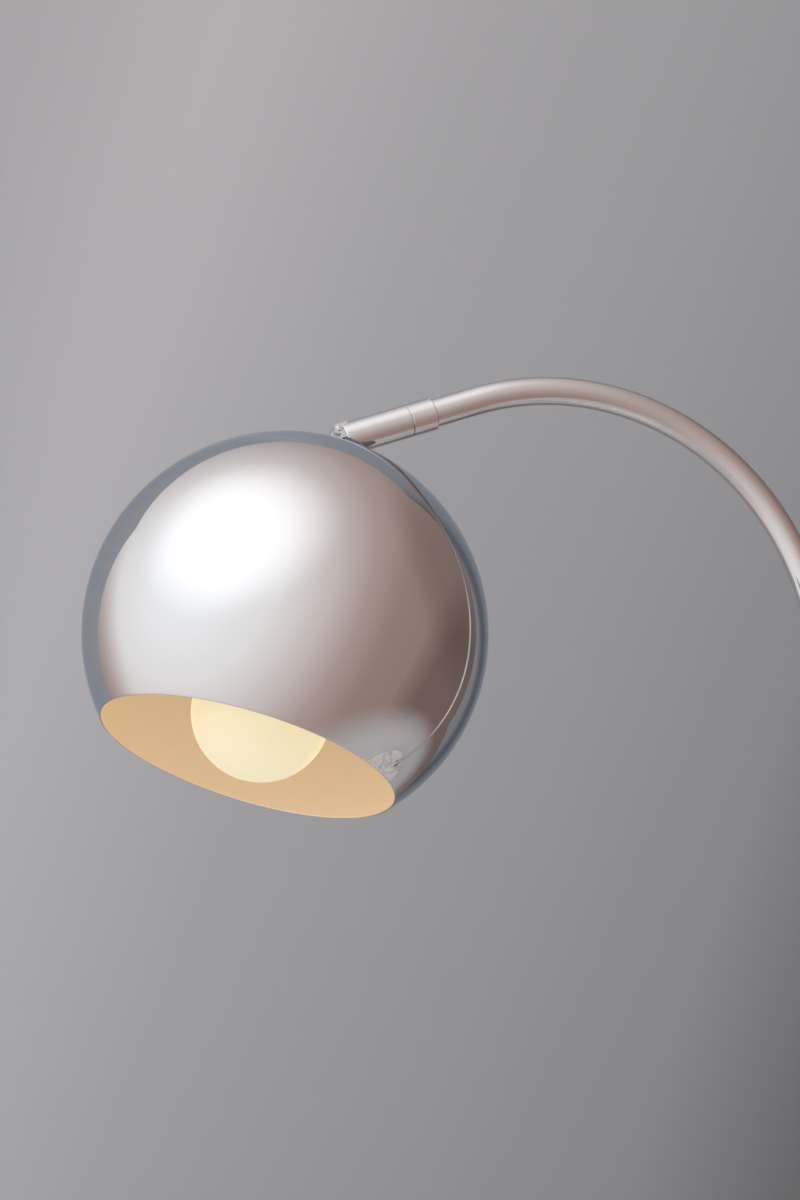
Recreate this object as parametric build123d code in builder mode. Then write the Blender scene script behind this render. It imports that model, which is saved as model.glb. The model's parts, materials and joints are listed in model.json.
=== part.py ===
"""Arc floor lamp: a chrome globe shade hung from a bent chrome tube on a round marble base.

Millimetres, +Z up. The origin is the centre of the base's underside. The arc lies in the XZ plane,
with the pole on the +X side of the base and the shade out towards -X.

Two tilted frames carry the hinged end. The stub frame has s along the tube's end, b across it in
the plane of the stub, and n along the tilt pin. The shade frame has w up the shade's axis and r
across it, in the same plane as s and b.
"""

from build123d import *
from math import cos, radians, sin, sqrt
import os

os.makedirs("parts", exist_ok=True)

# ---- Driving dimensions -------------------------------------------------------------------------

# Base
BASE_RADIUS = 190
FELT = 2
MARBLE = 38
BASE_FILLET = 3
POLE_X = 130                 # the pole stands off-centre, on the side away from the shade
ROD_HOLE_RADIUS = 5.5
RECESS_RADIUS = 20           # clamp recess under the marble
RECESS_DEPTH = 24
GROOVE_WIDTH = 9             # cord groove, from the recess to the rim
GROOVE_HEIGHT = 9
SOCKET_RADIUS = 16.5
SOCKET_HEIGHT = 38
SOCKET_FLOOR = 5
FLANGE_RADIUS = 26           # foot of the socket, on the marble
FLANGE_HEIGHT = 4
GRUB_HEIGHT = 24             # the grub screw above the marble
GRUB_RADIUS = 2.5

# Pole and arc
TUBE_RADIUS = 12.5
TUBE_WALL = 1.5
ARC_RADIUS = 258
APEX_HEIGHT = 860            # tube centreline at the top of the arc
END_SLOPE = 15               # the tube's end runs down at this angle to the horizontal, degrees
BEND_START = 130             # from the tilt pin's station to the start of the bend, along the end
POLE_SPLIT = 350             # height of the push-fit joint between the pole's two lengths
SPIGOT_HALF = 45
SPIGOT_BORE = 7
SPIGOT_SCREW_RADIUS = 2
SPIGOT_SCREW_DROP = 25       # the screw below the joint

# Collar and swivel stub
STUB_RADIUS = 14.5
SEAM = 0.3
PIN_RADIUS = 2
SEAM_STATION = 65            # seam between stub and collar, from the pin's station
COLLAR_END = 89
PIN_OFFSET = 9.5             # the tilt pin lies this far above the tube's axis
REST_SWIVEL = -12.3          # the stub is turned this far about the tube's end, degrees

# Shade
SHADE_RADIUS = 175
SHADE_WALL = 1
MOUTH_RADIUS = 131
SHADE_ANGLE = 52.7           # between the tube's end and the shade's axis, degrees
PIN_HEIGHT = 18              # the tilt pin above the shade's crown
PIN_SIDE = 9.2               # and to the outer side of its axis

# Bulb and lampholder, along the shade's axis from the shade's centre
BULB_RADIUS = 60
BULB_DROP = 73.7
BULB_LENGTH = 175
CAP_RADIUS = 13.2            # E27 cap
ROD_RADIUS = 5               # M10 hollow threaded rod
ROD_BORE = 3.5
FLEX_RADIUS = 2.7
FIT = 0.03                   # radial gap between a fixed piece and its hole
RUN = 0.06                   # radial gap between a turning piece and its hole

# ---- Heights and points worked out from those ---------------------------------------------------

base_top = FELT + MARBLE
bore_radius = TUBE_RADIUS - TUBE_WALL
arc_centre = Vector(POLE_X - ARC_RADIUS, 0, APEX_HEIGHT - ARC_RADIUS)
slope = radians(END_SLOPE)
swivel = radians(REST_SWIVEL)
lean = radians(SHADE_ANGLE)

s_dir = Vector(cos(slope), 0, sin(slope))
b_neutral = Vector(-sin(slope), 0, cos(slope))
b_dir = b_neutral * cos(swivel) + s_dir.cross(b_neutral) * sin(swivel)
n_dir = s_dir.cross(b_dir)

arc_end = arc_centre + Vector(-sin(slope), 0, cos(slope)) * ARC_RADIUS
end_origin = arc_end - s_dir * BEND_START
pin_point = end_origin + b_dir * PIN_OFFSET

w_dir = s_dir * cos(lean) + b_dir * sin(lean)
r_dir = s_dir * sin(lean) - b_dir * cos(lean)
shade_centre = pin_point + r_dir * PIN_SIDE - w_dir * (SHADE_RADIUS + PIN_HEIGHT)
mouth_drop = sqrt(SHADE_RADIUS**2 - MOUTH_RADIUS**2)
shade_axis = Axis(shade_centre, w_dir)
end_axis = Axis(end_origin, s_dir)

side_plane = Plane(origin=shade_centre, x_dir=r_dir, z_dir=n_dir)      # x is r, y is w
knuckle_plane = Plane(origin=pin_point, x_dir=s_dir, z_dir=n_dir)      # x is s, y is b


def stub_plane(station):
    """Across the tube's end at a station along it: x is b, y is n."""
    return Plane(origin=end_origin + s_dir * station, x_dir=b_dir, z_dir=s_dir)


def shade_plane(height):
    """Across the shade's axis at a height above the shade's centre: x is r."""
    return Plane(origin=shade_centre + w_dir * height, x_dir=r_dir, z_dir=w_dir)


def outward(x, z):
    """Upright plane at x, facing +X: its own x is Y."""
    return Plane(origin=(x, 0, z), x_dir=(0, 1, 0), z_dir=(1, 0, 0))


def ring(plane, outer, inner, length):
    """Add a tube or washer that stands on the plane."""
    with BuildSketch(plane) as profile:
        Circle(outer)
        if inner:
            Circle(inner, mode=Mode.SUBTRACT)
    extrude(profile.sketch, amount=length)


def hex_nut(plane, across_flats, bore, thickness):
    """Add a hexagon nut with rounded corners that stands on the plane."""
    with BuildSketch(plane) as profile:
        RegularPolygon(across_flats / 2, 6, major_radius=False)
        Circle(across_flats / 2 * 1.1, mode=Mode.INTERSECT)
        Circle(bore, mode=Mode.SUBTRACT)
    extrude(profile.sketch, amount=thickness)


def save(name, piece):
    piece.part.label = name
    export_step(piece.part, f"parts/{name}.step")


# ---- Base ---------------------------------------------------------------------------------------

with BuildPart() as base_felt:
    ring(Plane.XY, BASE_RADIUS - BASE_FILLET, 0, FELT)

with BuildPart() as base_disc:
    with BuildSketch(Plane.XY.offset(FELT)):
        Circle(BASE_RADIUS)
    extrude(amount=MARBLE)
    rims = base_disc.edges().filter_by(GeomType.CIRCLE).sort_by(Axis.Z)
    fillet(rims[-1], radius=BASE_FILLET)
    chamfer(base_disc.edges().filter_by(GeomType.CIRCLE).sort_by(Axis.Z)[0], length=1)
    with BuildSketch(Plane.XY.offset(FELT)):
        with Locations((POLE_X, 0)):
            Circle(RECESS_RADIUS)
    extrude(amount=RECESS_DEPTH, mode=Mode.SUBTRACT)
    with BuildSketch(Plane.XY.offset(FELT)):
        with Locations((POLE_X, 0)):
            Circle(ROD_HOLE_RADIUS)
    extrude(amount=MARBLE, mode=Mode.SUBTRACT)
    with BuildSketch(Plane.XY.offset(FELT)):
        with Locations((POLE_X, 0)):
            Rectangle(BASE_RADIUS, GROOVE_WIDTH, align=(Align.MIN, Align.CENTER))
    extrude(amount=GROOVE_HEIGHT, mode=Mode.SUBTRACT)

clamp_across = 17            # M10 washer radius and nut across flats
washer_thickness = 3
washer_z = FELT + RECESS_DEPTH - washer_thickness
nut_thickness = 6
rod_bottom = washer_z - nut_thickness - 1
rod_top = base_top + SOCKET_FLOOR + 4

with BuildPart() as clamp_washer:
    ring(Plane((POLE_X, 0, washer_z)), clamp_across, ROD_RADIUS + 0.3, washer_thickness)

with BuildPart() as clamp_nut:
    hex_nut(Plane((POLE_X, 0, washer_z - nut_thickness)), clamp_across, ROD_RADIUS + FIT,
            nut_thickness)

with BuildPart() as tie_rod:
    ring(Plane((POLE_X, 0, rod_bottom)), ROD_RADIUS, ROD_BORE, rod_top - rod_bottom)

with BuildPart() as pole_socket:
    with BuildSketch(Plane((POLE_X, 0, base_top))):
        Circle(FLANGE_RADIUS)
    extrude(amount=FLANGE_HEIGHT)
    with BuildSketch(Plane((POLE_X, 0, base_top))):
        Circle(SOCKET_RADIUS)
    extrude(amount=SOCKET_HEIGHT)
    top_rims = pole_socket.edges().filter_by(GeomType.CIRCLE)
    chamfer(top_rims.group_by(Axis.Z)[-1], length=1.5)
    fillet(pole_socket.edges().filter_by(GeomType.CIRCLE).filter_by_position(
        Axis.Z, base_top + FLANGE_HEIGHT - 0.1, base_top + FLANGE_HEIGHT + 0.1), radius=1.2)
    with BuildSketch(Plane((POLE_X, 0, base_top))):
        Circle(ROD_RADIUS + FIT)
    extrude(amount=SOCKET_FLOOR, mode=Mode.SUBTRACT)
    with BuildSketch(Plane((POLE_X, 0, base_top + SOCKET_FLOOR))):
        Circle(TUBE_RADIUS + FIT)
    extrude(amount=SOCKET_HEIGHT, mode=Mode.SUBTRACT)
    with BuildSketch(outward(POLE_X, base_top + GRUB_HEIGHT)):
        Circle(GRUB_RADIUS + FIT)
    extrude(amount=2 * SOCKET_RADIUS, mode=Mode.SUBTRACT)

with BuildPart() as socket_grub_screw:
    grub_plane = outward(POLE_X + TUBE_RADIUS + 0.1, base_top + GRUB_HEIGHT)
    grub_length = SOCKET_RADIUS - TUBE_RADIUS - 0.4
    with BuildSketch(grub_plane):
        Circle(GRUB_RADIUS)
    extrude(amount=grub_length)
    with BuildSketch(grub_plane.offset(grub_length / 2)):
        RegularPolygon(GRUB_RADIUS / 2, 6, major_radius=False)
    extrude(amount=grub_length / 2, mode=Mode.SUBTRACT)

# The rubber bush that lines the end of the cord groove at the rim.
groove_mid = FELT + GROOVE_HEIGHT / 2
grommet_lip = 3
grommet_length = 12
groove_end = Plane(origin=(BASE_RADIUS + 1.5, 0, groove_mid), x_dir=(0, 1, 0), z_dir=(-1, 0, 0))
with BuildPart() as cord_grommet:
    with BuildSketch(groove_end.offset(grommet_lip)):
        RectangleRounded(GROOVE_WIDTH - 0.2, GROOVE_HEIGHT - 0.2, 2)
    extrude(amount=grommet_length)
    with BuildSketch(groove_end):
        Circle(GROOVE_HEIGHT / 2 - 0.3)
    extrude(amount=grommet_lip)
    with BuildSketch(groove_end):
        Circle(FLEX_RADIUS + 0.3)
    extrude(amount=grommet_lip + grommet_length + 1, mode=Mode.SUBTRACT)

# ---- Pole and arc -------------------------------------------------------------------------------

screw_z = POLE_SPLIT - SPIGOT_SCREW_DROP
with BuildPart() as lower_pole:
    ring(Plane((POLE_X, 0, base_top + SOCKET_FLOOR)), TUBE_RADIUS, bore_radius,
         POLE_SPLIT - base_top - SOCKET_FLOOR)
    with BuildSketch(outward(POLE_X, screw_z)):
        Circle(SPIGOT_SCREW_RADIUS + FIT)
    extrude(amount=2 * TUBE_RADIUS, mode=Mode.SUBTRACT)

with BuildPart() as pole_spigot:
    ring(Plane((POLE_X, 0, POLE_SPLIT - SPIGOT_HALF)), bore_radius - 0.05, SPIGOT_BORE,
         2 * SPIGOT_HALF)
    with BuildSketch(outward(POLE_X, screw_z)):
        Circle(SPIGOT_SCREW_RADIUS + FIT)
    extrude(amount=2 * TUBE_RADIUS, mode=Mode.SUBTRACT)

with BuildPart() as spigot_screw:
    screw_plane = outward(POLE_X + SPIGOT_BORE + 0.4, screw_z)
    with BuildSketch(screw_plane):
        Circle(SPIGOT_SCREW_RADIUS)
    extrude(amount=TUBE_RADIUS - SPIGOT_BORE)
    with BuildSketch(screw_plane.offset(TUBE_RADIUS - SPIGOT_BORE)):
        Circle(1.7 * SPIGOT_SCREW_RADIUS)
    extrude(amount=1.4)
    fillet(spigot_screw.edges().filter_by(GeomType.CIRCLE).sort_by(Axis.X)[-1], radius=1)

tube_end = 77                # the arc tube's end inside the collar
with BuildPart() as arc_tube:
    with BuildLine():
        Line((POLE_X, 0, POLE_SPLIT), (POLE_X, 0, arc_centre.Z))
        bend = CenterArc((0, 0), ARC_RADIUS, 0, 90 + END_SLOPE, mode=Mode.PRIVATE)
        bend = bend.moved(Location(Plane(origin=arc_centre, x_dir=(1, 0, 0), z_dir=(0, -1, 0))))
        add(bend)
        Line(arc_end, end_origin + s_dir * tube_end)
    with BuildSketch(Plane((POLE_X, 0, POLE_SPLIT))):
        Circle(TUBE_RADIUS)
        Circle(bore_radius, mode=Mode.SUBTRACT)
    sweep()

# The collar holds the arc tube's end on one side and the swivel bolt on the other.
collar_start = SEAM_STATION + SEAM / 2
collar_web = 5
with BuildPart() as end_collar:
    ring(stub_plane(collar_start), STUB_RADIUS, ROD_RADIUS + RUN, collar_web)
    ring(stub_plane(collar_start + collar_web), STUB_RADIUS, bore_radius - 1,
         tube_end - collar_start - collar_web)
    ring(stub_plane(tube_end), STUB_RADIUS, TUBE_RADIUS + FIT, COLLAR_END - tube_end)
    collar_rims = end_collar.edges().filter_by(GeomType.CIRCLE)
    outer_rims = collar_rims.filter_by(lambda e: abs(e.radius - STUB_RADIUS) < 0.01)
    chamfer(outer_rims.sort_by(end_axis)[0], length=0.3)
    chamfer(outer_rims.sort_by(end_axis)[-1], length=0.8)

# ---- Swivel stub and knuckle --------------------------------------------------------------------

stub_end = SEAM_STATION - SEAM / 2
stub_nose = 3                # station of the stub's end face
nose_back = 17               # the nose is solid up to here
bore_front = 58              # and the far wall, which holds the swivel bolt, starts here
slot_half = 3.35             # the tongue's slot between the ears
ear_half = 7.9
eye_radius = 4.6
ear_reach = 9                # how far the ears run back into the stub, and down from the pin
slot_back = 9.5              # station where the slot for the tongue ends
slot_deep = 30
mitre_top = -11.5            # below this height the nose is cut back on a slant, to clear the
mitre_end = (24, -27)        # shade, down to this point in s and b from the pin
mitre_low = -34
stub_bore = 10

with BuildPart() as swivel_stub:
    with BuildSketch(stub_plane(stub_nose)):
        Circle(STUB_RADIUS)
    extrude(amount=stub_end - stub_nose)
    stub_rims = swivel_stub.edges().filter_by(GeomType.CIRCLE).sort_by(end_axis)
    chamfer(stub_rims[-1], length=0.3)
    chamfer(stub_rims[0], length=0.8)
    with BuildSketch(stub_plane(nose_back)):
        Circle(stub_bore)
    extrude(amount=bore_front - nose_back, mode=Mode.SUBTRACT)
    with BuildSketch(stub_plane(bore_front)):
        Circle(ROD_RADIUS + FIT)
    extrude(amount=20, mode=Mode.SUBTRACT)
    # ears that hold the pin
    with BuildSketch(knuckle_plane):
        Circle(eye_radius)
        Rectangle(ear_reach, 2 * eye_radius, align=(Align.MIN, Align.CENTER))
        with Locations((0, -eye_radius)):
            Rectangle(ear_reach, ear_reach - eye_radius, align=(Align.MIN, Align.MAX))
    extrude(amount=ear_half, both=True)
    # slot for the shade's tongue, and the way through for the flex
    with BuildSketch(knuckle_plane):
        with Locations((-slot_back, 2 * eye_radius)):
            Rectangle(2 * slot_back, 2 * slot_deep, align=(Align.MIN, Align.MAX))
        with Locations((slot_back, -eye_radius)):
            Rectangle(nose_back + 0.1 - slot_back, slot_deep, align=(Align.MIN, Align.MAX))
    extrude(amount=slot_half, both=True, mode=Mode.SUBTRACT)
    # lower side of the nose cut back on a slant
    with BuildSketch(knuckle_plane):
        with BuildLine():
            Polyline((-8, mitre_top), (stub_nose, mitre_top), mitre_end,
                     (mitre_end[0], mitre_low), (-8, mitre_low), close=True)
        make_face()
    extrude(amount=20, both=True, mode=Mode.SUBTRACT)
    # pin hole, with a flat for the pin's nut
    with BuildSketch(knuckle_plane):
        Circle(PIN_RADIUS + FIT)
    extrude(amount=2 * STUB_RADIUS, both=True, mode=Mode.SUBTRACT)
    with BuildSketch(knuckle_plane.offset(-ear_half)):
        Circle(eye_radius)
    extrude(amount=-STUB_RADIUS, mode=Mode.SUBTRACT)

pin_tail = 3                 # what of the pin stands past the ear, inside its nut
with BuildPart() as tilt_pin:
    with BuildSketch(knuckle_plane.offset(-ear_half - pin_tail)):
        Circle(PIN_RADIUS)
    extrude(amount=2 * ear_half + pin_tail)
    with BuildSketch(knuckle_plane.offset(ear_half)):
        Circle(1.3 * PIN_RADIUS)
    extrude(amount=1.4)
    head_rim = tilt_pin.edges().filter_by(GeomType.CIRCLE).sort_by(Axis(pin_point, n_dir))[-1]
    fillet(head_rim, radius=1)

with BuildPart() as tilt_pin_nut:
    with BuildSketch(knuckle_plane.offset(-ear_half - 0.1)):
        RegularPolygon(3.5, 6, major_radius=False)
        Circle(PIN_RADIUS + FIT, mode=Mode.SUBTRACT)
    extrude(amount=0.4 - pin_tail)

spindle_start = 50
nut_station = collar_start + collar_web + 1.2
with BuildPart() as swivel_bolt:
    ring(stub_plane(spindle_start), ROD_RADIUS, ROD_BORE, nut_station + 4.6 - spindle_start)

with BuildPart() as swivel_inner_nut:
    hex_nut(stub_plane(bore_front - 4.1), 14, ROD_RADIUS + FIT, 4)

with BuildPart() as swivel_washer:
    ring(stub_plane(nut_station - 0.9), 8.5, ROD_RADIUS + FIT, 0.8)

with BuildPart() as swivel_nut:
    hex_nut(stub_plane(nut_station), 14, ROD_RADIUS + FIT, 4)

# ---- Shade --------------------------------------------------------------------------------------

with BuildPart() as shade_shell:
    with BuildSketch(side_plane):
        with BuildLine():
            outer = ThreePointArc((0, SHADE_RADIUS), (SHADE_RADIUS, 0), (MOUTH_RADIUS, -mouth_drop))
            inner_radius = SHADE_RADIUS - SHADE_WALL
            scale_in = inner_radius / SHADE_RADIUS
            inner = ThreePointArc(
                (0, inner_radius), (inner_radius, 0),
                (MOUTH_RADIUS * scale_in, -mouth_drop * scale_in))
            Line(outer @ 0, inner @ 0)
            Line(outer @ 1, inner @ 1)
        make_face()
    revolve(axis=shade_axis)
    with BuildSketch(shade_plane(0)):
        Circle(ROD_RADIUS + 0.2)
    extrude(amount=SHADE_RADIUS + 5, mode=Mode.SUBTRACT)

flange_thickness = 2.5
flange_radius = 9
tongue_half = 3
eye_height = PIN_HEIGHT - flange_thickness
crown = SHADE_RADIUS
with BuildPart() as tilt_tongue:
    ring(shade_plane(crown), flange_radius, ROD_RADIUS + FIT, flange_thickness)
    tongue_foot = Plane(
        origin=shade_centre + w_dir * (crown + flange_thickness), x_dir=r_dir, z_dir=n_dir)
    with BuildSketch(tongue_foot):
        with BuildLine():
            Polyline((-flange_radius, -1.2), (-flange_radius, 3), (-PIN_SIDE - eye_radius, 7),
                     (-PIN_SIDE - eye_radius, eye_height), (-PIN_SIDE + eye_radius, eye_height),
                     (-PIN_SIDE + eye_radius, 9), (-ROD_RADIUS - 0.2, 0),
                     (-ROD_RADIUS - 0.2, -1.2), close=True)
        make_face()
        with Locations((-PIN_SIDE, eye_height)):
            Circle(eye_radius)
    extrude(amount=tongue_half, both=True)
    with BuildSketch(knuckle_plane):
        Circle(PIN_RADIUS + RUN)
    extrude(amount=2 * tongue_half, both=True, mode=Mode.SUBTRACT)

shade_washer_height = crown - SHADE_WALL - 1.4
with BuildPart() as shade_washer:
    ring(shade_plane(shade_washer_height), 10, ROD_RADIUS + 0.2, 1)

with BuildPart() as shade_nut:
    hex_nut(shade_plane(shade_washer_height - 4), 14, ROD_RADIUS + FIT, 4)

holder_top = 72
with BuildPart() as stem_rod:
    ring(shade_plane(holder_top - 12), ROD_RADIUS, ROD_BORE,
         crown + flange_thickness - holder_top + 12)

with BuildPart() as stem_tube:
    ring(shade_plane(holder_top), 7, 6, shade_washer_height - 4 - holder_top)

# ---- Lampholder ---------------------------------------------------------------------------------

holder_split = 50            # between the lampholder's cap and its body
holder_radius = 20
holder_wall = 2
cap_top = 9                  # thickness and rounding of the cap's top
with BuildPart() as holder_cap:
    with BuildSketch(shade_plane(holder_split)):
        Circle(holder_radius)
    extrude(amount=holder_top - holder_split)
    cap_rims = holder_cap.edges().filter_by(GeomType.CIRCLE).sort_by(shade_axis)
    fillet(cap_rims[-1], radius=cap_top)
    with BuildSketch(shade_plane(holder_split)):
        Circle(holder_radius - holder_wall)
    extrude(amount=holder_top - holder_split - cap_top, mode=Mode.SUBTRACT)
    with BuildSketch(shade_plane(holder_split)):
        Circle(ROD_RADIUS + FIT)
    extrude(amount=holder_top - holder_split, mode=Mode.SUBTRACT)

holder_mouth = 6
with BuildPart() as holder_body:
    ring(shade_plane(holder_mouth), holder_radius, holder_radius - holder_wall,
         holder_split - holder_mouth)
    body_rims = holder_body.edges().filter_by(GeomType.CIRCLE).sort_by(shade_axis)
    chamfer(body_rims[0], length=0.6)

with BuildPart() as holder_ring:
    ring(shade_plane(holder_mouth + 6), holder_radius + 2.5, holder_radius + FIT, 7)
    ring_rims = holder_ring.edges().filter_by(GeomType.CIRCLE)
    fillet(ring_rims.filter_by(lambda e: e.radius > holder_radius + 1), radius=1)

insert_height = 43.5
insert_thickness = 6
terminal_side = 11           # the two terminals each side of the axis
with BuildPart() as holder_insert:
    ring(shade_plane(insert_height), holder_radius - holder_wall - 0.2, 0, insert_thickness)
    with BuildSketch(shade_plane(insert_height)):
        with Locations((-terminal_side, 0), (terminal_side, 0)):
            Circle(1.9)
    extrude(amount=insert_thickness, mode=Mode.SUBTRACT)

shell_mouth = 12
shell_wall = 0.6
with BuildPart() as holder_screw_shell:
    ring(shade_plane(shell_mouth), CAP_RADIUS + 0.3 + shell_wall, CAP_RADIUS + 0.3,
         insert_height - shell_mouth)

contact_thickness = 1.6
with BuildPart() as holder_contact:
    with BuildSketch(shade_plane(insert_height - contact_thickness)):
        Rectangle(12, 5)
    extrude(amount=contact_thickness)

with BuildPart() as holder_terminals:
    with BuildSketch(shade_plane(insert_height + insert_thickness)):
        with Locations((-terminal_side, 0), (terminal_side, 0)):
            Rectangle(6, 7)
    extrude(amount=5)

# ---- Bulb ---------------------------------------------------------------------------------------

bulb_tip = BULB_LENGTH - BULB_RADIUS - BULB_DROP
cap_bottom = bulb_tip - 27
cap_taper = 5                # the cap narrows over its last stretch, to the contact
neck_radius = CAP_RADIUS - 0.9
neck_blend = 24
glass_wall = 1.2
glass_overlap = 6            # how far the glass neck reaches into the cap


def bulb_outline(shrink):
    """The globe and its neck in half section, shrunk inwards by the glass thickness."""
    with BuildSketch(side_plane) as outline:
        with Locations((0, -BULB_DROP)):
            Circle(BULB_RADIUS - shrink)
        with Locations((0, -BULB_DROP)):
            Rectangle(2 * (neck_radius - shrink), BULB_DROP + cap_bottom + glass_overlap,
                      align=(Align.CENTER, Align.MIN))
        inner_corners = outline.vertices().filter_by_position(
            Axis(shade_centre, w_dir), -BULB_DROP, 0)
        fillet(inner_corners, radius=neck_blend + shrink)
        with Locations((0, -2 * BULB_RADIUS - BULB_DROP)):
            Rectangle(3 * BULB_RADIUS, 6 * BULB_RADIUS, align=(Align.MIN, Align.MIN),
                      mode=Mode.INTERSECT)
    return outline


with BuildPart() as bulb_glass:
    revolve(bulb_outline(0).sketch, axis=shade_axis)
    revolve(bulb_outline(glass_wall).sketch, axis=shade_axis, mode=Mode.SUBTRACT)

with BuildPart() as bulb_cap:
    ring(shade_plane(cap_bottom), CAP_RADIUS, neck_radius + FIT, bulb_tip - cap_taper - cap_bottom)
    with BuildSketch(shade_plane(bulb_tip - cap_taper)):
        Circle(CAP_RADIUS)
    extrude(amount=3, taper=45)

with BuildPart() as bulb_contact:
    with BuildSketch(shade_plane(bulb_tip - 1.9)):
        Circle(5)
    extrude(amount=1.8)

mount_tip = -BULB_DROP - 8
mount_top = cap_bottom + 8
with BuildPart() as bulb_mount:
    with BuildSketch(shade_plane(mount_tip)):
        Circle(3)
    extrude(amount=mount_top - mount_tip)
    with BuildSketch(shade_plane(mount_top)):
        Circle(9)
    extrude(amount=3)

filament_length = 38
with BuildPart() as bulb_filaments:
    with BuildSketch(shade_plane(-BULB_DROP - 26)):
        with PolarLocations(9, 4):
            Circle(0.8)
    extrude(amount=filament_length)

# ---- Flex inside the lamp, split where the swivel and the knuckle turn ---------------------------

bend_radius = 9.5
flex_start = BASE_RADIUS - grommet_length - 1
with BuildPart() as flex_stand:
    with BuildLine():
        Line((flex_start, 0, groove_mid), (POLE_X + bend_radius, 0, groove_mid))
        turn = CenterArc((0, 0), bend_radius, 180, 90, mode=Mode.PRIVATE)
        turn = turn.moved(Location(Plane(
            origin=(POLE_X + bend_radius, 0, groove_mid + bend_radius), x_dir=(1, 0, 0),
            z_dir=(0, -1, 0))))
        add(turn)
        Line((POLE_X, 0, groove_mid + bend_radius), (POLE_X, 0, arc_centre.Z))
        add(bend)
        Line(arc_end, end_origin + s_dir * (nut_station + 8))
    with BuildSketch(Plane(origin=(flex_start, 0, groove_mid), z_dir=(-1, 0, 0))):
        Circle(FLEX_RADIUS)
    sweep()

stub_flex_start = nose_back + 3
with BuildPart() as flex_stub:
    ring(stub_plane(stub_flex_start), FLEX_RADIUS, 0, nut_station + 4 - stub_flex_start)

shade_flex_start = holder_top - 14
with BuildPart() as flex_shade:
    ring(shade_plane(shade_flex_start), FLEX_RADIUS, 0,
         crown + flange_thickness + 1 - shade_flex_start)

# ---- Write every piece --------------------------------------------------------------------------

for name, piece in {
    "base_felt": base_felt,
    "base_disc": base_disc,
    "clamp_washer": clamp_washer,
    "clamp_nut": clamp_nut,
    "tie_rod": tie_rod,
    "pole_socket": pole_socket,
    "socket_grub_screw": socket_grub_screw,
    "cord_grommet": cord_grommet,
    "lower_pole": lower_pole,
    "pole_spigot": pole_spigot,
    "spigot_screw": spigot_screw,
    "arc_tube": arc_tube,
    "end_collar": end_collar,
    "swivel_stub": swivel_stub,
    "swivel_bolt": swivel_bolt,
    "swivel_inner_nut": swivel_inner_nut,
    "swivel_washer": swivel_washer,
    "swivel_nut": swivel_nut,
    "tilt_pin": tilt_pin,
    "tilt_pin_nut": tilt_pin_nut,
    "tilt_tongue": tilt_tongue,
    "shade_shell": shade_shell,
    "shade_washer": shade_washer,
    "shade_nut": shade_nut,
    "stem_rod": stem_rod,
    "stem_tube": stem_tube,
    "holder_cap": holder_cap,
    "holder_body": holder_body,
    "holder_ring": holder_ring,
    "holder_insert": holder_insert,
    "holder_screw_shell": holder_screw_shell,
    "holder_contact": holder_contact,
    "holder_terminals": holder_terminals,
    "bulb_glass": bulb_glass,
    "bulb_cap": bulb_cap,
    "bulb_contact": bulb_contact,
    "bulb_mount": bulb_mount,
    "bulb_filaments": bulb_filaments,
    "flex_stand": flex_stand,
    "flex_stub": flex_stub,
    "flex_shade": flex_shade,
}.items():
    save(name, piece)
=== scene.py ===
"""Looks of the arc floor lamp: chrome globe shade, opal bulb, bent chrome tube and marble base.

Everything is in metres, in the frame of the CAD model. The pieces made here replace the CAD
nodes whose curved surfaces need a finer mesh; the others keep their shape and get a material.
"""

import json
import math

import bmesh
import bpy
from mathutils import Matrix, Vector


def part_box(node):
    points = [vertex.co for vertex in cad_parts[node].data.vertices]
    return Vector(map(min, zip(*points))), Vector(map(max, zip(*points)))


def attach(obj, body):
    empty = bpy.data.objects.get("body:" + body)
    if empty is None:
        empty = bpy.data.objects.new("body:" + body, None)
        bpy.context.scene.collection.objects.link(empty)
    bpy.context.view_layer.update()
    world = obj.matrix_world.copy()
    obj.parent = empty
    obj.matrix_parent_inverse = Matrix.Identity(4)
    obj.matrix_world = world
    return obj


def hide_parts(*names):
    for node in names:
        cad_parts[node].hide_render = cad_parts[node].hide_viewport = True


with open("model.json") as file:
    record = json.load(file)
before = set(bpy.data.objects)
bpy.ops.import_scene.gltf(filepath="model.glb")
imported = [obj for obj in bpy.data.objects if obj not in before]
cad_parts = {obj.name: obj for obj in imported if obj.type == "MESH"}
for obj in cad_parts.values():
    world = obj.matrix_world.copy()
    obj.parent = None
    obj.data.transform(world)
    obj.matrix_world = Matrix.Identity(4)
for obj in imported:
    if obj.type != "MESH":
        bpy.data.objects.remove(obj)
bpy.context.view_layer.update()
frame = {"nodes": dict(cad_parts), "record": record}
nodes = frame["nodes"]
joints = {joint["name"]: joint for joint in frame["record"]["behaviour"]["joints"]}
scene = bpy.context.scene
scene.view_settings.view_transform = "Standard"

# ---- Places read from the frame -----------------------------------------------------------------


def middle(node):
    low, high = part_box(node)
    return (Vector(low) + Vector(high)) / 2


def ball_centre(node, radius, end):
    """The centre of a round node that shows its full width, from its top or bottom."""
    low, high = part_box(node)
    centre = middle(node)
    centre.z = high[2] - radius if end == "top" else low[2] + radius
    return centre


SHADE_RADIUS = 0.175
SHADE_WALL = 0.001
MOUTH_RADIUS = 0.131
BULB_RADIUS = 0.060
BULB_LENGTH = 0.175
NECK_RADIUS = 0.0123
CAP_LENGTH = 0.027
TUBE_RADIUS = 0.0125
TUBE_WALL = 0.0015
ARC_RADIUS = 0.258
COLLAR_COVER = 0.012         # how far the tube's end reaches into the collar, past the seam
CROWN_HOLE_RADIUS = 0.0052
GLASS_WALL = 0.0012
NECK_BLEND = 0.024           # radius of the hollow between globe and neck
NECK_IN_CAP = 0.006

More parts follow.
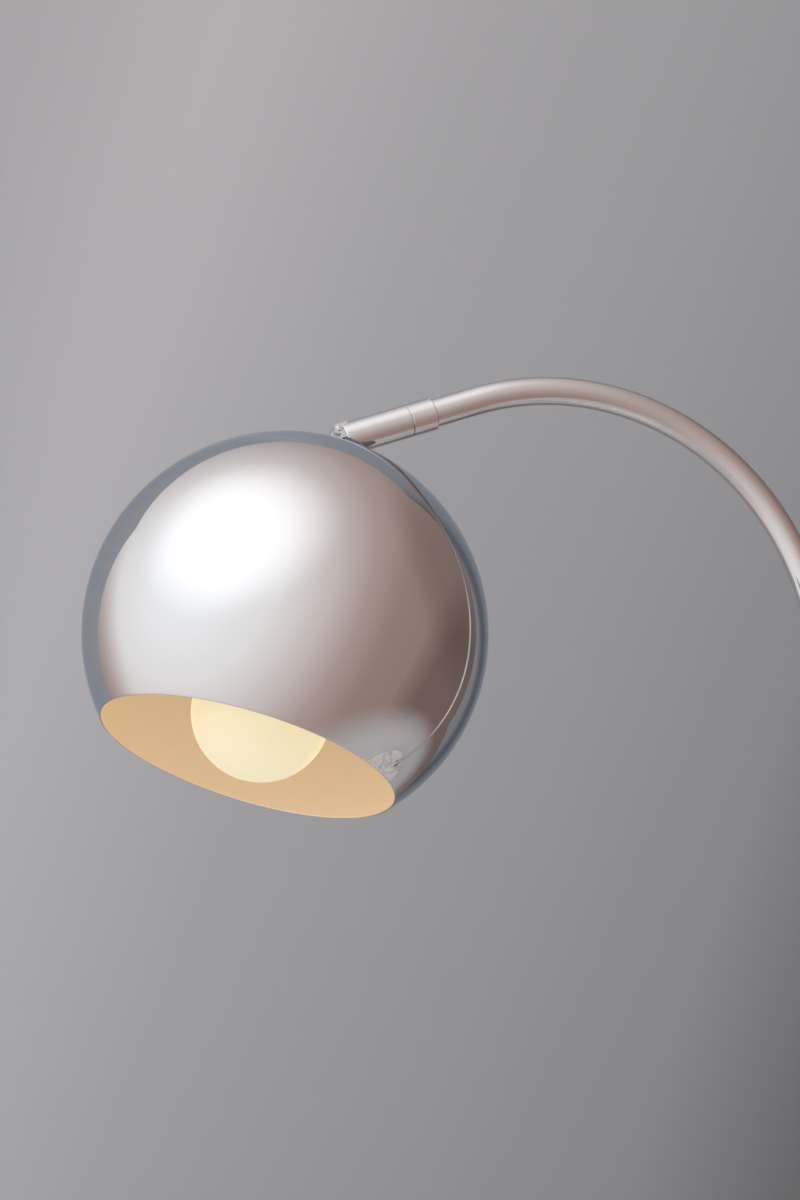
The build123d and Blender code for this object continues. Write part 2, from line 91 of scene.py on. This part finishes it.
end_dir = Vector(joints["shade_swivel"]["axis"]).normalized()
seam_point = Vector(joints["shade_swivel"]["pos_m"])
shade_centre = ball_centre("shade_shell", SHADE_RADIUS, "top")
bulb_centre = ball_centre("bulb_glass", BULB_RADIUS, "bottom")
shade_up = (shade_centre - bulb_centre).normalized()
pole_point = middle("lower_pole")
pole_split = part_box("lower_pole")[1][2]

# ---- Mesh helpers -------------------------------------------------------------------------------


def new_object(name, mesh, body, replaced, material):
    piece = bpy.data.objects.new(name, mesh)
    scene.collection.objects.link(piece)
    mesh.materials.append(material)
    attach(piece, body)
    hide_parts(*replaced)
    return piece


def across(axis):
    """Two unit vectors square to the axis and to each other."""
    start = Vector((0, 1, 0)) if abs(axis.y) < 0.9 else Vector((1, 0, 0))
    first = axis.cross(start).normalized()
    return first, axis.cross(first).normalized()


def lathe(name, profile, origin, axis, segments=192, sharp=35):
    """A mesh turned about the axis from (radius, height) points, closed at a zero radius."""
    mesh = bpy.data.meshes.new(name)
    work = bmesh.new()
    first, second = across(axis)
    rows = []
    for radius, height in profile:
        at = origin + axis * height
        if radius < 1e-7:
            rows.append([work.verts.new(at)])
            continue
        row = []
        for step in range(segments):
            angle = 2 * math.pi * step / segments
            spoke = first * math.cos(angle) + second * math.sin(angle)
            row.append(work.verts.new(at + spoke * radius))
        rows.append(row)
    for low, high in zip(rows, rows[1:]):
        for step in range(segments):
            after = (step + 1) % segments
            corners = [low[step % len(low)], low[after % len(low)],
                       high[after % len(high)], high[step % len(high)]]
            corners = list(dict.fromkeys(corners))
            if len(corners) > 2:
                work.faces.new(corners)
    bmesh.ops.recalc_face_normals(work, faces=work.faces)
    for face in work.faces:
        face.smooth = True
    for edge in work.edges:
        if len(edge.link_faces) == 2 and edge.calc_face_angle(0) > math.radians(sharp):
            edge.smooth = False
    work.to_mesh(mesh)
    work.free()
    return mesh


def arc_points(centre_radius, centre_height, radius, start, stop, steps):
    """Profile points on an arc; angles in degrees, from outwards towards the axis."""
    points = []
    for step in range(steps + 1):
        angle = math.radians(start + (stop - start) * step / steps)
        points.append((centre_radius + radius * math.cos(angle),
                       centre_height + radius * math.sin(angle)))
    return points


def pipe(name, path, tangents, side, outer, inner, segments=96):
    """A tube along a path that lies in the plane square to the side vector."""
    mesh = bpy.data.meshes.new(name)
    work = bmesh.new()
    rings = []
    for radius in (outer, inner):
        rows = []
        for point, tangent in zip(path, tangents):
            up = side.cross(tangent).normalized()
            row = []
            for step in range(segments):
                angle = 2 * math.pi * step / segments
                spoke = side * math.cos(angle) + up * math.sin(angle)
                row.append(work.verts.new(point + spoke * radius))
            rows.append(row)
        rings.append(rows)
    outside, inside = rings
    walls = list(zip(outside, outside[1:])) + list(zip(inside[1:], inside))
    walls += [(inside[0], outside[0]), (outside[-1], inside[-1])]
    for low, high in walls:
        for step in range(segments):
            after = (step + 1) % segments
            work.faces.new([low[step], low[after], high[after], high[step]])
    bmesh.ops.recalc_face_normals(work, faces=work.faces)
    for face in work.faces:
        face.smooth = True
    for edge in work.edges:
        if len(edge.link_faces) == 2 and edge.calc_face_angle(0) > math.radians(40):
            edge.smooth = False
    work.to_mesh(mesh)
    work.free()
    return mesh


# ---- Materials ----------------------------------------------------------------------------------


def material(name, **sockets):
    made = bpy.data.materials.new(name)
    made.use_nodes = True
    shader = made.node_tree.nodes["Principled BSDF"]
    for key, value in sockets.items():
        shader.inputs[key.replace("_", " ")].default_value = value
    return made, made.node_tree, shader


def add_node(tree, kind, **settings):
    node = tree.nodes.new(kind)
    for key, value in settings.items():
        if key in node.inputs:
            node.inputs[key].default_value = value
        else:
            setattr(node, key, value)
    return node


def noise(tree, scale, detail=3.0, roughness=0.5, distortion=0.0):
    where = add_node(tree, "ShaderNodeTexCoord")
    made = add_node(tree, "ShaderNodeTexNoise", Scale=scale, Detail=detail, Roughness=roughness,
                    Distortion=distortion)
    tree.links.new(where.outputs["Object"], made.inputs["Vector"])
    return made


def ramp(tree, source, stops):
    made = add_node(tree, "ShaderNodeValToRGB")
    elements = made.color_ramp.elements
    while len(elements) < len(stops):
        elements.new(0.5)
    for element, (position, colour) in zip(elements, stops):
        element.position = position
        element.color = (*colour, 1.0)
    tree.links.new(source, made.inputs["Fac"])
    return made


def vary(tree, source, socket, low, high):
    """Feed a 0 to 1 texture into a socket as a value between low and high."""
    spread = add_node(tree, "ShaderNodeMapRange")
    spread.inputs["From Min"].default_value = 0.3
    spread.inputs["From Max"].default_value = 0.7
    spread.inputs["To Min"].default_value = low
    spread.inputs["To Max"].default_value = high
    tree.links.new(source, spread.inputs["Value"])
    tree.links.new(spread.outputs["Result"], socket)


def bump(tree, shader, source, strength, distance):
    made = add_node(tree, "ShaderNodeBump", Strength=strength, Distance=distance)
    tree.links.new(source, made.inputs["Height"])
    tree.links.new(made.outputs["Normal"], shader.inputs["Normal"])


def chrome(name, colour=(0.66, 0.665, 0.675), low=0.015, high=0.05):
    """Polished plating: a mirror with a faint haze from handling, bluer at a grazing angle."""
    made, tree, shader = material(name, Base_Color=(*colour, 1), Metallic=1.0,
                                  Specular_Tint=(0.72, 0.80, 0.90, 1))
    haze = noise(tree, 22, detail=6, roughness=0.65)
    vary(tree, haze.outputs["Fac"], shader.inputs["Roughness"], low, high)
    bump(tree, shader, noise(tree, 9, detail=1).outputs["Fac"], 0.04, 0.0004)
    return made


def steel(name):
    made, tree, shader = material(name, Base_Color=(0.56, 0.55, 0.53, 1), Metallic=1.0)
    grain = noise(tree, 420, detail=4)
    vary(tree, grain.outputs["Fac"], shader.inputs["Roughness"], 0.28, 0.42)
    bump(tree, shader, grain.outputs["Fac"], 0.15, 0.0001)
    return made


def brass(name):
    made, tree, shader = material(name, Base_Color=(0.78, 0.58, 0.27, 1), Metallic=1.0)
    grain = noise(tree, 260, detail=4)
    vary(tree, grain.outputs["Fac"], shader.inputs["Roughness"], 0.22, 0.38)
    return made


def moulded(name, colour, rough, grain_scale=600.0):
    """Moulded plastic, rubber or porcelain: faint colour and gloss variation and a fine grain."""
    made, tree, shader = material(name)
    cloud = noise(tree, 14, detail=3)
    darker = tuple(channel * 0.94 for channel in colour)
    tone = ramp(tree, cloud.outputs["Fac"], [(0.35, darker), (0.65, colour)])
    tree.links.new(tone.outputs["Color"], shader.inputs["Base Color"])
    grain = noise(tree, grain_scale, detail=2)
    vary(tree, grain.outputs["Fac"], shader.inputs["Roughness"], rough * 0.9, rough * 1.1)
    bump(tree, shader, grain.outputs["Fac"], 0.12, 0.00008)
    return made


def paint(name):
    """Warm cream enamel with the fine orange peel of sprayed paint."""
    made, tree, shader = material(name, Coat_Weight=0.2, Coat_Roughness=0.25)
    cloud = noise(tree, 7, detail=2)
    tone = ramp(tree, cloud.outputs["Fac"], [(0.3, (0.83, 0.76, 0.66)), (0.7, (0.85, 0.79, 0.70))])
    tree.links.new(tone.outputs["Color"], shader.inputs["Base Color"])
    peel = noise(tree, 320, detail=2)
    vary(tree, peel.outputs["Fac"], shader.inputs["Roughness"], 0.42, 0.52)
    bump(tree, shader, peel.outputs["Fac"], 0.10, 0.0002)
    return made


def opal(name):
    """Lit opal glass, a little brighter towards the tip than at the neck."""
    made, tree, shader = material(name, Base_Color=(0.42, 0.40, 0.37, 1), Roughness=0.25,
                                  Emission_Strength=0.61)
    where = add_node(tree, "ShaderNodeTexCoord")
    height = add_node(tree, "ShaderNodeVectorMath", operation="DOT_PRODUCT")
    height.inputs[1].default_value = shade_up
    tree.links.new(where.outputs["Object"], height.inputs[0])
    along = add_node(tree, "ShaderNodeMapRange")
    along.inputs["From Min"].default_value = bulb_centre.dot(shade_up) - BULB_RADIUS
    along.inputs["From Max"].default_value = bulb_centre.dot(shade_up) + BULB_RADIUS
    tree.links.new(height.outputs["Value"], along.inputs["Value"])
    glow = ramp(tree, along.outputs["Result"],
                [(0.0, (1.0, 0.88, 0.52)), (1.0, (1.0, 0.85, 0.47))])
    tree.links.new(glow.outputs["Color"], shader.inputs["Emission Color"])
    return made


def marble(name):
    """Polished white marble: soft grey clouds and thin wandering veins."""
    made, tree, shader = material(name, Roughness=0.12, Coat_Weight=0.5, Coat_Roughness=0.05,
                                  Subsurface_Weight=0.05, Subsurface_Scale=0.01)
    clouds = noise(tree, 5, detail=8, roughness=0.6, distortion=1.2)
    ground = ramp(tree, clouds.outputs["Fac"], [
        (0.30, (0.70, 0.69, 0.68)), (0.50, (0.83, 0.82, 0.80)), (0.75, (0.88, 0.87, 0.85))])
    wander = noise(tree, 3.4, detail=10, roughness=0.62, distortion=2.4)
    veins = ramp(tree, wander.outputs["Fac"],
                 [(0.470, (1, 1, 1)), (0.495, (0.52, 0.52, 0.53)), (0.505, (0.55, 0.55, 0.55)),
                  (0.540, (1, 1, 1))])
    both = add_node(tree, "ShaderNodeMix", data_type="RGBA", blend_type="MULTIPLY")
    both.inputs["Factor"].default_value = 0.7
    tree.links.new(ground.outputs["Color"], both.inputs[6])
    tree.links.new(veins.outputs["Color"], both.inputs[7])
    tree.links.new(both.outputs[2], shader.inputs["Base Color"])
    return made


def felt(name):
    made, tree, shader = material(name, Roughness=0.95, Sheen_Weight=0.4)
    fibre = noise(tree, 900, detail=6, roughness=0.7)
    tone = ramp(tree, fibre.outputs["Fac"], [(0.3, (0.02, 0.02, 0.02)), (0.7, (0.07, 0.07, 0.07))])
    tree.links.new(tone.outputs["Color"], shader.inputs["Base Color"])
    bump(tree, shader, fibre.outputs["Fac"], 0.6, 0.0004)
    return made


def clear_glass(name):
    made, tree, shader = material(name, Base_Color=(0.96, 0.97, 0.97, 1),
                                  Transmission_Weight=1.0, IOR=1.5)
    vary(tree, noise(tree, 60).outputs["Fac"], shader.inputs["Roughness"], 0.0, 0.04)
    return made


def glowing(name):
    made, tree, shader = material(name, Base_Color=(1.0, 0.75, 0.4, 1), Emission_Strength=2.0)
    shader.inputs["Emission Color"].default_value = (1.0, 0.72, 0.38, 1)
    vary(tree, noise(tree, 300).outputs["Fac"], shader.inputs["Roughness"], 0.3, 0.5)
    return made


mirror_chrome = chrome("mirror_chrome", low=0.01, high=0.035)
tube_chrome = chrome("tube_chrome")
cream_paint = paint("cream_paint")
opal_glass = opal("opal_glass")

slot_materials = {
    "marble": marble("white_marble"),
    "felt": felt("dark_felt"),
    "chrome": tube_chrome,
    "shade_chrome": mirror_chrome,
    "zinc_steel": steel("zinc_steel"),
    "nylon": moulded("nylon", (0.80, 0.79, 0.75), 0.4),
    "rubber": moulded("black_rubber", (0.03, 0.03, 0.03), 0.6),
    "holder_plastic": moulded("cream_thermoset", (0.85, 0.83, 0.78), 0.3),
    "porcelain": moulded("porcelain", (0.88, 0.87, 0.84), 0.15, 200.0),
    "brass": brass("brass"),
    "opal_glass": opal_glass,
    "clear_glass": clear_glass("clear_glass"),
    "filament": glowing("glowing_filament"),
    "bulb_metal": steel("bulb_nickel"),
    "flex_pvc": moulded("flex_pvc", (0.78, 0.78, 0.76), 0.45),
}

for entry in frame["record"]["subparts"]:
    node_object = nodes[entry["node"]]
    node_object.data.materials.clear()
    node_object.data.materials.append(slot_materials[entry["material_slot"]])

# ---- Shade --------------------------------------------------------------------------------------


def shade_mesh():
    """The thin spun shell: outside, rounded edge at the mouth, inside, and the crown's hole."""
    hole = math.asin(CROWN_HOLE_RADIUS / SHADE_RADIUS)
    mouth = math.asin(MOUTH_RADIUS / SHADE_RADIUS)
    top, bottom = 90 - math.degrees(hole), math.degrees(mouth) - 90
    outer = arc_points(0, 0, SHADE_RADIUS, top, bottom, 160)
    edge_centre = SHADE_RADIUS - SHADE_WALL / 2
    turn = math.radians(bottom)
    edge = arc_points(edge_centre * math.cos(turn), edge_centre * math.sin(turn), SHADE_WALL / 2,
                      bottom, bottom - 180, 8)
    inner = arc_points(0, 0, SHADE_RADIUS - SHADE_WALL, bottom, top, 120)
    profile = outer + edge[1:-1] + inner + outer[:1]
    return lathe("shade", profile, shade_centre, shade_up, segments=288, sharp=60)


shade_data = shade_mesh()
new_object("polished_shade", shade_data, "shade", ["shade_shell"], mirror_chrome)
shade_data.materials.append(cream_paint)
for face in shade_data.polygons:
    spoke = face.center - shade_centre
    faces_in = face.normal.dot(spoke.normalized()) < -0.7
    if faces_in and spoke.length < SHADE_RADIUS - 0.8 * SHADE_WALL:
        face.material_index = 1

# ---- Bulb ---------------------------------------------------------------------------------------


def bulb_mesh():
    """The opal globe, blended into its neck, with the glass's thickness inside."""
    cap_end = BULB_LENGTH - BULB_RADIUS - CAP_LENGTH

    def outline(shrink):
        globe, neck, curve = BULB_RADIUS - shrink, NECK_RADIUS - shrink, NECK_BLEND + shrink
        reach = math.sqrt((globe + curve) ** 2 - (neck + curve) ** 2)
        meet = math.degrees(math.atan2(reach, neck + curve))
        round_part = arc_points(0, 0, globe, -90, meet, 96)
        hollow = arc_points(neck + curve, reach, curve, meet + 180, 180, 20)
        round_part[0] = (0, -globe)
        return round_part + hollow[1:] + [(neck, cap_end + NECK_IN_CAP)]

    outside, inside = outline(0), outline(GLASS_WALL)
    return lathe("bulb", outside + inside[::-1], bulb_centre, shade_up, segments=160, sharp=50)


bulb = new_object("opal_bulb", bulb_mesh(), "shade", ["bulb_glass"], opal_glass)

# ---- Tube ---------------------------------------------------------------------------------------


def tube_mesh():
    """Upright, bend and straight end in one smooth run."""
    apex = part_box("arc_tube")[1][2] - TUBE_RADIUS
    centre = Vector((pole_point.x - ARC_RADIUS, 0, apex - ARC_RADIUS))
    end_slope = math.asin(end_dir.z)
    path, tangents = [], []
    for step in range(13):
        path.append(Vector((pole_point.x, 0, pole_split + (centre.z - pole_split) * step / 12)))
        tangents.append(Vector((0, 0, 1)))
    for step in range(1, 161):
        angle = (math.pi / 2 + end_slope) * step / 160
        path.append(centre + Vector((math.cos(angle), 0, math.sin(angle))) * ARC_RADIUS)
        tangents.append(Vector((-math.sin(angle), 0, math.cos(angle))))
    bend_end = path[-1]
    collar_high = seam_point + end_dir * COLLAR_COVER
    for step in range(1, 9):
        path.append(bend_end.lerp(collar_high, step / 8))
        tangents.append(-end_dir)
    return pipe("arc", path, tangents, Vector((0, -1, 0)), TUBE_RADIUS, TUBE_RADIUS - TUBE_WALL)


new_object("polished_arc_tube", tube_mesh(), "stand", ["arc_tube"], tube_chrome)

# ---- Staging, light and camera ------------------------------------------------------------------

CAMERA_AZIMUTH = math.radians(-18.5)
CAMERA_PITCH = math.radians(3.4)
CAMERA_ROLL = math.radians(-2.6)
CAMERA_DISTANCE = 3.44
AIM_RIGHT = 0.0987           # the aim point from the shade's centre
AIM_UP = 0.0293
LENS = 120                   # in mm, for a frame 36 mm on its long side

ahead = Vector((-math.sin(CAMERA_AZIMUTH), math.cos(CAMERA_AZIMUTH), 0))
level_right = Vector((ahead.y, -ahead.x, 0))
look = ahead * math.cos(CAMERA_PITCH) + Vector((0, 0, math.sin(CAMERA_PITCH)))
level_up = level_right.cross(look)
camera_right = level_right * math.cos(CAMERA_ROLL) + level_up * math.sin(CAMERA_ROLL)
camera_up = level_up * math.cos(CAMERA_ROLL) - level_right * math.sin(CAMERA_ROLL)
aim = shade_centre + camera_right * AIM_RIGHT + camera_up * AIM_UP

camera_data = bpy.data.cameras.new("camera")
camera = bpy.data.objects.new("camera", camera_data)
scene.collection.objects.link(camera)
camera_data.lens = LENS
camera_data.sensor_width = 36
camera.location = aim - look * CAMERA_DISTANCE
camera.rotation_euler = Matrix((camera_right, camera_up, -look)).transposed().to_euler()
scene.camera = camera


def plain_stage(name, corners):
    mesh = bpy.data.meshes.new(name)
    mesh.from_pydata(corners, [], [tuple(range(len(corners)))])
    panel = bpy.data.objects.new(name, mesh)
    scene.collection.objects.link(panel)
    made, tree, shader = material(name + "_surface", Roughness=0.8)
    mesh.materials.append(made)
    return tree, shader


def see_through(tree, shader, factor):
    """Let the surface fade out where the factor is 1."""
    clear = add_node(tree, "ShaderNodeBsdfTransparent")
    mix = add_node(tree, "ShaderNodeMixShader")
    tree.links.new(factor, mix.inputs["Fac"])
    tree.links.new(shader.outputs["BSDF"], mix.inputs[1])
    tree.links.new(clear.outputs["BSDF"], mix.inputs[2])
    tree.links.new(mix.outputs["Shader"], tree.nodes["Material Output"].inputs["Surface"])


# The floor is wide, but the mirror surfaces see only the part of it round the base.
FLOOR_RADIUS = 3.0
FLOOR_SEEN = (0.30, 0.75)
floor_corners = [
    (FLOOR_RADIUS * math.cos(math.radians(turn)), FLOOR_RADIUS * math.sin(math.radians(turn)), 0)
    for turn in range(0, 360, 5)
]
floor_tree, floor_shader = plain_stage("floor", floor_corners)
floor_shader.inputs["Base Color"].default_value = (0.62, 0.62, 0.63, 1)
floor_where = add_node(floor_tree, "ShaderNodeTexCoord")
floor_reach = add_node(floor_tree, "ShaderNodeVectorMath", operation="LENGTH")
floor_tree.links.new(floor_where.outputs["Object"], floor_reach.inputs[0])
floor_fade = add_node(floor_tree, "ShaderNodeMapRange", interpolation_type="SMOOTHSTEP")
floor_fade.inputs["From Min"].default_value = FLOOR_SEEN[0]
floor_fade.inputs["From Max"].default_value = FLOOR_SEEN[1]
floor_tree.links.new(floor_reach.outputs["Value"], floor_fade.inputs["Value"])
floor_ray = add_node(floor_tree, "ShaderNodeLightPath")
floor_gone = add_node(floor_tree, "ShaderNodeMath", operation="MULTIPLY")
floor_tree.links.new(floor_fade.outputs["Result"], floor_gone.inputs[0])
floor_tree.links.new(floor_ray.outputs["Is Glossy Ray"], floor_gone.inputs[1])
see_through(floor_tree, floor_shader, floor_gone.outputs["Value"])

# The wall is seen from its front only. Its colour carries painted shade: it darkens towards the
# lower right, where the light from the left falls off.
WALL_BEHIND = 1.0
WALL_SHADE_DROP = 0.35             # how much the painted shade follows the height, against the sideways place
WALL_LEFT, WALL_RIGHT, WALL_OVER = 1.5, 1.1, 1.2
wall_foot = shade_centre + ahead * WALL_BEHIND
wall_foot.z = 0
wall_top = Vector((0, 0, shade_centre.z + WALL_OVER))
wall_corners = [
    wall_foot - level_right * WALL_LEFT,
    wall_foot + level_right * WALL_RIGHT,
    wall_foot + level_right * WALL_RIGHT + wall_top,
    wall_foot - level_right * WALL_LEFT + wall_top,
]
wall_tree, wall_shader = plain_stage("wall", wall_corners)
wall_where = add_node(wall_tree, "ShaderNodeTexCoord")
wall_side = add_node(wall_tree, "ShaderNodeVectorMath", operation="DOT_PRODUCT")
wall_side.inputs[1].default_value = level_right - Vector((0, 0, WALL_SHADE_DROP))
wall_tree.links.new(wall_where.outputs["Object"], wall_side.inputs[0])
wall_middle = wall_foot.dot(level_right) - WALL_SHADE_DROP * shade_centre.z
wall_shade_across = add_node(wall_tree, "ShaderNodeMapRange")
wall_shade_across.inputs["From Min"].default_value = wall_middle - 0.55
wall_shade_across.inputs["From Max"].default_value = wall_middle + 1.3
wall_tree.links.new(wall_side.outputs["Value"], wall_shade_across.inputs["Value"])
# painted shade: this ramp makes the plain grey wall darker from the upper left towards the lower
# right, as light falling off from the left would
wall_painted_shade = ramp(wall_tree, wall_shade_across.outputs["Result"], [
    (0.0, (0.41, 0.422, 0.44)), (0.12, (0.47, 0.483, 0.503)), (0.274, (0.385, 0.397, 0.414)),
    (0.457, (0.33, 0.341, 0.357)), (0.583, (0.275, 0.285, 0.30)), (0.68, (0.155, 0.16, 0.168)),
    (0.74, (0.17, 0.175, 0.183)), (0.84, (0.34, 0.348, 0.36))])
wall_tree.links.new(wall_painted_shade.outputs["Color"], wall_shader.inputs["Base Color"])
wall_side_seen = add_node(wall_tree, "ShaderNodeNewGeometry")
see_through(wall_tree, wall_shader, wall_side_seen.outputs["Backfacing"])


def studio_world():
    """A soft room: a broad white light high on one side, falling off to a warm dark room."""
    world = bpy.data.worlds.new("studio")
    scene.world = world
    world.use_nodes = True
    tree = world.node_tree
    where = add_node(tree, "ShaderNodeTexCoord")

    def towards(right_part, up_part, back_part, low, high, smooth=True):
        """How far a direction lies towards an axis given from the main view, as 0 to 1."""
        axis = level_right * right_part + Vector((0, 0, up_part)) - ahead * back_part
        dot = add_node(tree, "ShaderNodeVectorMath", operation="DOT_PRODUCT")
        dot.inputs[1].default_value = axis.normalized()
        tree.links.new(where.outputs["Generated"], dot.inputs[0])
        spread = add_node(tree, "ShaderNodeMapRange")
        if smooth:
            spread.interpolation_type = "SMOOTHSTEP"
        spread.inputs["From Min"].default_value = low
        spread.inputs["From Max"].default_value = high
        tree.links.new(dot.outputs["Value"], spread.inputs["Value"])
        return spread.outputs["Result"]

    def mixed(kind, factor, first, second):
        mix = add_node(tree, "ShaderNodeMix", data_type="RGBA", blend_type=kind)
        mix.clamp_result = False
        tree.links.new(factor, mix.inputs["Factor"])
        tree.links.new(first, mix.inputs[6])
        mix.inputs[7].default_value = (*second, 1)
        return mix.outputs[2]

    room = ramp(tree, towards(-0.75, 0.45, 0.48, -1, 1, smooth=False), [
        ((1 + at) / 2, colour) for at, colour in (
            (-0.90, (0.16, 0.11, 0.094)), (-0.74, (0.275, 0.188, 0.162)),
            (-0.45, (0.295, 0.203, 0.175)),
            (-0.13, (0.39, 0.305, 0.275)), (0.15, (0.53, 0.46, 0.44)), (0.38, (0.64, 0.58, 0.56)),
            (0.62, (0.74, 0.71, 0.70)), (0.78, (0.77, 0.76, 0.76)), (0.95, (0.84, 0.84, 0.85)))])
    # the white light high on the left, the warm dark patch behind it, and the darker far right
    lit = mixed("ADD", towards(-0.34, 0.84, 0.42, 0.60, 1.0), room.outputs["Color"],
                (0.33, 0.34, 0.35))
    shaded = mixed("MULTIPLY", towards(-0.60, -0.15, -0.80, 0.72, 1.0), lit, (0.58, 0.52, 0.47))
    shaded = mixed("MULTIPLY", towards(0.85, 0.25, -0.45, 0.80, 1.0), shaded, (0.74, 0.74, 0.74))
    background = tree.nodes["Background"]
    tree.links.new(shaded, background.inputs["Color"])
    background.inputs["Strength"].default_value = 1.45
    # what the camera sees past the stage is plain grey
    plain = add_node(tree, "ShaderNodeBackground")
    plain.inputs["Color"].default_value = (0.40, 0.40, 0.405, 1)
    ray = add_node(tree, "ShaderNodeLightPath")
    mix = add_node(tree, "ShaderNodeMixShader")
    tree.links.new(ray.outputs["Is Camera Ray"], mix.inputs["Fac"])
    tree.links.new(background.outputs["Background"], mix.inputs[1])
    tree.links.new(plain.outputs["Background"], mix.inputs[2])
    tree.links.new(mix.outputs["Shader"], tree.nodes["World Output"].inputs["Surface"])


studio_world()

bulb_light = bpy.data.lights.new("bulb_light", "POINT")
bulb_light.energy = 0.26
bulb_light.color = (1.0, 0.59, 0.33)
bulb_light.shadow_soft_size = BULB_RADIUS * 1.02
glow = bpy.data.objects.new("bulb_light", bulb_light)
scene.collection.objects.link(glow)
glow.location = bulb_centre
glow.visible_camera = False
glow.visible_glossy = False
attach(glow, "shade")
bulb.visible_shadow = False
